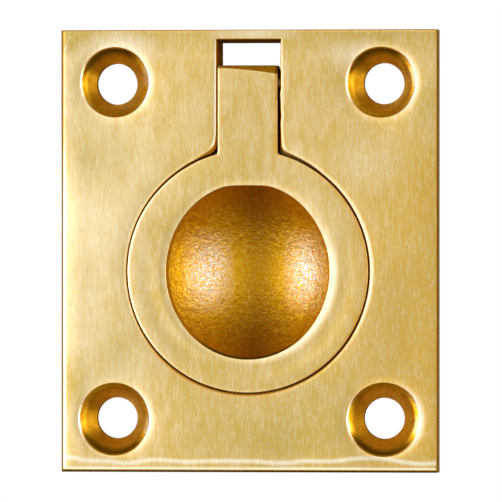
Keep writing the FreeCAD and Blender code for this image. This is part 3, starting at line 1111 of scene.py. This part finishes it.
def linished_brass():
    """Satin face: fine upright belt lines and softly clouded colour. Painted light makes it paler towards
    the left and in soft spots, with a painted highlight streak above the bottom edge. Painted shade makes it
    deeper to the right, along the top, in the top left corner and in other soft spots. Where the polish
    level is above 0 it is smoother and painted pale as a highlight, from 0 to -1 it is painted orange as
    shade and from there to -2 dark brown as painted shade."""
    n = Nodes(bpy.data.materials.new("linished_brass"))
    lines = n.noise(7.0, 3.0, 0.7, (1, 1, 0.09))
    mottle = n.noise(3.2, 3.0, 0.65, (1, 1, 0.6))
    patches = n.noise(1.1, 3.0, 0.6, (1, 1, 0.3))
    cloud = n.noise(0.16, 3.0, 0.5, (1, 1, 0.6))
    specks = n.noise(2.3, 1.0, 0.5)
    wave = n.noise(0.13, 1.0, 0.5, (1, 0, 0))
    place = n.add("ShaderNodeSeparateXYZ", {0: n.object_mm()}).outputs
    across, height = place["X"], place["Z"]
    polish = n.polish()
    # Painted light: paler towards the left and along the left edge, less pale towards the top and the bottom,
    # with a random cloud of paler tone
    paler_cloud_and_painted_light = n.math(
        "ADD", n.ramp(across, -half_width, half_width, 0.38, -0.26), n.ramp(cloud, 0.3, 0.7, -0.35, 0.4),
        n.ramp(across, -half_width, -9, 0.24, 0.0), n.ramp(n.math("ABSOLUTE", height), 7.0, 19.0, 0.0, -0.36))
    # Painted shade: deeper gold towards the right, less in the upper part
    painted_shade_right = n.math("MULTIPLY", n.ramp(across, 4, half_width, 0.0, 0.95), n.ramp(height, 9, 14, 1.0, 0.2))
    # Painted shade: darker along the top edge, clouded
    painted_shade_top = n.math("MULTIPLY", n.ramp(height, 19.6, half_height, 0.0, 0.75),
                      n.ramp(cloud, 0.2, 0.6, 0.7, 1.2))
    # Painted shade in the top left corner
    corner = n.math("MULTIPLY", n.ramp(across, -18.6, -14.5, 0.8, 0.0), n.ramp(height, 19.2, 21.4))
    # Painted highlight: a pale wavy streak just above the bottom edge
    from_painted_streak = n.math("SUBTRACT", n.math("ADD", height, 22.1), n.math("MULTIPLY", wave, 2.0))
    painted_highlight_streak = n.ramp(n.math("ABSOLUTE", from_painted_streak), 0.06, 0.34, 0.9, 0.0)
    base = n.layers((0.68, 0.455, 0.115), [
        (n.ramp(patches, 0.38, 0.62), (0.78, 0.565, 0.245)),
        (paler_cloud_and_painted_light, (0.95, 0.82, 0.52)),
        (painted_shade_right, (0.64, 0.385, 0.04)),
        (painted_shade_top, (0.50, 0.33, 0.04)),
        (corner, (0.34, 0.22, 0.03)),
        # Painted shade and painted highlights in soft spots
        *[(n.soft_spot(*spot), (0.52, 0.36, 0.055)) for spot in painted_shade_spots],
        *[(n.soft_spot(*spot), (0.98, 0.92, 0.72)) for spot in painted_highlight_spots],
        (painted_highlight_streak, (0.97, 0.90, 0.70)),
        (n.ramp(mottle, 0.35, 0.55, 0.28, 0.0), (0.72, 0.50, 0.08)),
        (n.ramp(mottle, 0.5, 0.68, 0.0, 0.3), (0.92, 0.74, 0.46)),
        (n.ramp(lines, 0.38, 0.52, 0.22, 0.0), (0.60, 0.39, 0.08)),
        (n.ramp(lines, 0.5, 0.66, 0.0, 0.3), (0.96, 0.83, 0.56)),
        (n.ramp(specks, 0.77, 0.8, 0.0, 0.5), (0.62, 0.34, 0.06)),
        # Painted highlight where the polish level is above 0, painted shade in orange and then dark brown
        # below it
        (n.ramp(polish, 0.1, 1.0, 0.0, 0.85), (0.97, 0.90, 0.70)),
        (n.ramp(polish, 0.0, -0.8), (0.52, 0.22, 0.008)),
        (n.ramp(polish, -1.0, -2.0), (0.07, 0.04, 0.005)),
    ])
    rough = n.math("ADD", n.ramp(lines, 0.3, 0.7, 0.31, 0.25), n.ramp(polish, 0.2, 1.0, 0.0, -0.13),
                   n.ramp(polish, 0.0, -0.8, 0.0, 0.45))
    tangent = n.add("ShaderNodeTangent", direction_type="RADIAL", axis="Z").outputs[0]
    return n.surface(base, rough, lines, 0.000003, {
        "Metallic": n.ramp(polish, -0.2, -0.8, 1.0, 0.35), "Anisotropic": 0.5, "Tangent": tangent,
        "Specular IOR Level": 0.0, "Coat Weight": n.ramp(polish, -0.2, -0.8, 0.4, 0.0),
        "Coat Roughness": 0.18})


def countersunk_brass():
    """Turned cone of golden brown metal, rubbed brighter in patches. Where the polish level is above 0
    it is painted nearly white as a highlight, below 0 it is painted dark as shade."""
    n = Nodes(bpy.data.materials.new("countersunk_brass"))
    rub = n.noise(1.4, 3.0, 0.6)
    fine = n.noise(7.0, 2.0, 0.5)
    polish = n.polish()
    base = n.layers((0.62, 0.27, 0.004), [
        (n.ramp(rub, 0.3, 0.7), (0.84, 0.45, 0.02)),
        # Painted highlight where the polish level is above 0, painted shade below it
        (n.ramp(polish, 0.0, 0.8), (0.97, 0.92, 0.78)),
        (n.ramp(polish, 0.0, -1.0, 0.0, 0.92), (0.11, 0.045, 0.002)),
    ])
    rough = n.math("ADD", n.ramp(fine, 0.3, 0.7, 0.34, 0.44), n.ramp(polish, 0.0, 1.0, 0.0, -0.12))
    return n.surface(base, rough, fine, 0.000004)


def cast_brass():
    """Bowl as it came from the sand: deep orange, finely pebbled, the tops of the grains worn pale.
    Painted highlights make the grain tops paler and add pale speckles at the two sides, and painted shade
    darkens it down the middle."""
    n = Nodes(bpy.data.materials.new("cast_brass"))
    voronoi = {"Vector": n.object_mm(), "Scale": 5.2}
    pebbles = n.add("ShaderNodeTexVoronoi", voronoi, feature="SMOOTH_F1").outputs["Distance"]
    grain = n.noise(2.4, 3.0, 0.6)
    fine = n.noise(10.0, 2.0, 0.5)
    stain = n.noise(0.5, 2.0, 0.5)
    speckle = n.noise(5.2, 3.0, 0.75)
    place = n.add("ShaderNodeSeparateXYZ", {0: n.object_mm()}).outputs
    from_middle = n.math("ABSOLUTE", place["X"])
    from_level = n.math("ABSOLUTE", n.math("SUBTRACT", place["Z"], ring_z))
    to_side = n.math("ABSOLUTE", n.math("SUBTRACT", from_middle, painted_highlight_x))
    # Painted highlights: two patches at the sides of the bowl, level with its middle
    painted_highlight_patch = n.math("MULTIPLY", n.ramp(to_side, 0.3, 2.6, 1.0, 0.0), n.ramp(from_level, 0.6, 4.6, 1.0, 0.0))
    # Grain tops worn pale, and paler still in the painted highlights
    tops = n.math("MULTIPLY", n.ramp(pebbles, 0.36, 0.14), n.ramp(grain, 0.40, 0.60, 0.0, 0.6),
                  n.ramp(painted_highlight_patch, 0.0, 0.5, 0.5, 1.0))
    base = n.layers((0.76, 0.37, 0.005), [
        (n.ramp(grain, 0.35, 0.65), (0.94, 0.57, 0.014)),
        # Painted shade, darker down the middle of the bowl
        (n.ramp(from_middle, 0.5, 4.2, 0.8, 0.0), (0.36, 0.16, 0.003)),
        (tops, (0.96, 0.84, 0.52)),
        # Painted highlight: pale speckles in the two patches
        (n.math("MULTIPLY", painted_highlight_patch, n.ramp(speckle, 0.46, 0.53)), (0.87, 0.91, 0.93)),
        (n.ramp(stain, 0.45, 0.7, 0.0, 0.12), (0.52, 0.21, 0.004)),
    ])
    raised = n.math("ADD", n.math("MULTIPLY", fine, 0.3), n.math("MULTIPLY", speckle, 0.3))
    height = n.math("SUBTRACT", raised, n.math("MULTIPLY", pebbles, 0.4))
    return n.surface(base, n.ramp(fine, 0.4, 0.62, 0.50, 0.36), height, 0.00009,
                     {"Specular Tint": colour(0.9, 0.5, 0.06)})


def marked_brass(name, marks, colours, rough, distance, limits=(0.3, 0.7), stain=None, others=None):
    """Brass whose marks blend two colours and raise small bumps.

    Marks are a noise: scale, detail, roughness and stretch. The roughness is one value, or two
    between which it follows the marks. A stain is a noise, its ramp and its colour.
    """
    n = Nodes(bpy.data.materials.new(name))
    height = n.noise(*marks)
    layers = [(n.ramp(height, *limits), colours[1])]
    if stain:
        layers.append((n.ramp(n.noise(*stain[0]), *stain[1]), stain[2]))
    if isinstance(rough, tuple):
        rough = n.ramp(height, 0.3, 0.7, *rough)
    return n.surface(n.layers(colours[0], layers), rough, height, distance, others)


def milled_brass():
    """Sides of the plate: milled straight, dull gold, brown where they are seen at a low angle."""
    return marked_brass(
        "milled_brass", (2.0, 3.0, 0.6, (1, 4, 1)), ((0.42, 0.26, 0.07), (0.60, 0.41, 0.14)), 0.42,
        0.000008, others={"Specular Tint": colour(0.10, 0.06, 0.004)})


def filed_brass():
    """Recess floor: filed and dull, with brown left in the file marks."""
    return marked_brass(
        "filed_brass", (5.0, 3.0, 0.6, (1, 1, 0.12)), ((0.36, 0.17, 0.03), (0.66, 0.42, 0.12)), (0.45, 0.3),
        0.000012, stain=((0.9, 2.0, 0.5), (0.4, 0.7, 0.0, 0.5), (0.55, 0.32, 0.07)))


def scaled_brass():
    """Walls of the slot and the gaps: brown scale over the metal, hardly shining, with bare streaks."""
    dull = {"Metallic": 0.35, "Specular IOR Level": 0.0, "Specular Tint": colour(0.12, 0.04, 0.005)}
    return marked_brass(
        "scaled_brass", (3.0, 3.0, 0.6, (1, 1, 0.4)), ((0.07, 0.020, 0.001), (0.34, 0.13, 0.008)), 0.85,
        0.00002, limits=(0.35, 0.75), others=dull)


def raw_brass():
    """Back of the casting: grained and darkened, never finished."""
    return marked_brass(
        "raw_brass", (2.6, 4.0, 0.6), ((0.40, 0.23, 0.07), (0.66, 0.44, 0.16)), (0.55, 0.42),
        0.00007, stain=((0.3, 3.0, 0.55), (0.4, 0.65, 0.0, 0.6), (0.42, 0.25, 0.10)))


def drawn_brass():
    """Pin wire with draw lines along it, dulled by wear in its bore."""
    return marked_brass(
        "drawn_brass", (8.0, 3.0, 0.6, (0.05, 1, 1)), ((0.15, 0.075, 0.012), (0.30, 0.17, 0.04)), (0.5, 0.36),
        0.000004)


# Studio

ring_light_azimuth = 3.0

# The ring of light: angle from its middle in degrees, level, and how warm it is
ring_light = (
    (0, 0.56, 0.0),
    (7, 0.64, 0.0),
    (11, 0.82, 0.0),
    (15, 1.05, 0.0),
    (20, 1.4, 0.0),
    (27, 1.5, 0.0),
    (35, 0.8, 0.3),
    (44, 0.32, 0.8),
    (90, 0.22, 1.0),
    (140, 0.4, 0.6),
)

# The two panels, in metres, and how bright they look, where 1 is white
panels = (("right_panel", 60), ("left_panel", -50))
panel_distance = 0.5
panel_width = 0.26
panel_height = 0.44
panel_level = 4.2

# The camera: the photo's width in pixels and its scale in pixels per millimetre
camera_azimuth = 8.0
photo_width = 502
photo_scale = 9.96


def towards(azimuth):
    """Level direction, `azimuth` degrees to the right of straight in front of the part."""
    turn = math.radians(azimuth)
    return Vector((math.sin(turn), -math.cos(turn), 0))


def aimed_object(name, data, azimuth, distance, aim=Vector()):
    """A lamp or camera that stands level with its aim, at a distance from it."""
    made = new_object(name, data)
    made.location = aim + towards(azimuth) * distance
    made.rotation_mode = "QUATERNION"
    made.rotation_quaternion = towards(azimuth).to_track_quat("Z", "Y")
    return made


def studio():
    """White behind the part, a dim warm room in front of it with a soft ring of light about the
    camera, and soft panels left and right.

    The ring is a ramp over the angle between a ray and the ring's middle, so that a face square to
    the camera renders near its own colour and its buffed edges, which lean a little, are brighter.
    """
    world = bpy.data.worlds.new("studio")
    bpy.context.scene.world = world
    n = Nodes(world)
    n.tree.nodes.clear()
    direction = n.add("ShaderNodeTexCoord").outputs["Generated"]
    middle = {0: direction, 1: towards(ring_light_azimuth)}
    along = n.add("ShaderNodeVectorMath", middle, operation="DOT_PRODUCT").outputs["Value"]
    share = n.math("DIVIDE", n.math("ARCCOSINE", along), math.pi)
    ramp = n.add("ShaderNodeValToRGB", {0: share})
    stops = ramp.color_ramp.elements
    for degrees, level, warmth in ring_light:
        stop = stops.new(degrees / 180)
        stop.color = (level, level * (1 - 0.28 * warmth), level * (1 - 0.60 * warmth), 1)
    stops.remove(stops[0])
    stops.remove(stops[-1])
    depth = n.add("ShaderNodeSeparateXYZ", {0: direction}).outputs["Y"]
    path = n.add("ShaderNodeLightPath").outputs
    bent = n.math("MAXIMUM", path["Is Glossy Ray"], path["Is Transmission Ray"])
    seen = n.math("MULTIPLY", bent, n.ramp(depth, 0.0, 0.35))
    white = n.math("MAXIMUM", path["Is Camera Ray"], seen)
    mix = {0: white, 6: ramp.outputs[0], 7: colour(1, 1, 1)}
    tone = n.add("ShaderNodeMix", mix, data_type="RGBA").outputs[2]
    background = n.add("ShaderNodeBackground", {"Color": tone, "Strength": 1.0}).outputs[0]
    n.add("ShaderNodeOutputWorld", {"Surface": background})

    for name, azimuth in panels:
        data = bpy.data.lights.new(name, "AREA")
        data.shape = "RECTANGLE"
        data.size, data.size_y = panel_width, panel_height
        data.energy = panel_level * math.pi * panel_width * panel_height
        aimed_object(name, data, azimuth, panel_distance).visible_camera = False


def floor():
    """Plain pale floor under the part, out of the main view."""
    depth_below = -0.05
    half = 0.5
    count = 3
    x, y = np.meshgrid(np.linspace(-half, half, count), np.linspace(-half, half, count), indexing="ij")
    points = points_of(x.ravel(), y.ravel(), depth_below)
    i, j = np.meshgrid(np.arange(count - 1), np.arange(count - 1), indexing="ij")
    corner = (i * count + j).ravel()
    quads = points_of(corner, corner + count, corner + count + 1, corner + 1)
    mesh = bpy.data.meshes.new("floor")
    mesh.from_pydata(points.tolist(), [], quads.tolist())
    n = Nodes(bpy.data.materials.new("pale_floor"))
    n.feed(n.shader, {"Base Color": colour(0.86, 0.86, 0.86), "Roughness": 0.9})
    mesh.materials.append(n.block)
    ground = new_object("floor", mesh)
    ground.visible_glossy = False


def camera():
    """Long lens, level with the part and a few degrees to its right, as in the photograph."""
    distance = 1.0
    data = bpy.data.cameras.new("camera")
    data.sensor_width = 36.0
    data.lens = data.sensor_width * distance / (photo_width / photo_scale * MM)
    data.clip_start, data.clip_end = 0.05, 20.0
    aim = Vector((0.00027, front * MM, 0.0))
    eye = aimed_object("camera", data, camera_azimuth, distance, aim)
    bpy.context.scene.camera = eye


bpy.context.scene.view_settings.view_transform = "Standard"
camera()
studio()
floor()

finishes = [linished_brass(), milled_brass(), countersunk_brass(), filed_brass(), scaled_brass(),
            cast_brass(), raw_brass()]
casting = backplate_skin().mesh("backplate_casting", shape_backplate, finishes)
face_outwards(casting)
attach(casting, "plate_body")
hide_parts("backplate")

ring = ring_skin().mesh("ring_casting", shape_ring, finishes)
face_outwards(ring)
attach(ring, "ring_body")
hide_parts("pull_ring")

pin = pin_skin().mesh("pin_wire", lambda points: points, [drawn_brass()])
face_outwards(pin)
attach(pin, "plate_body")
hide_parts("hinge_pin")
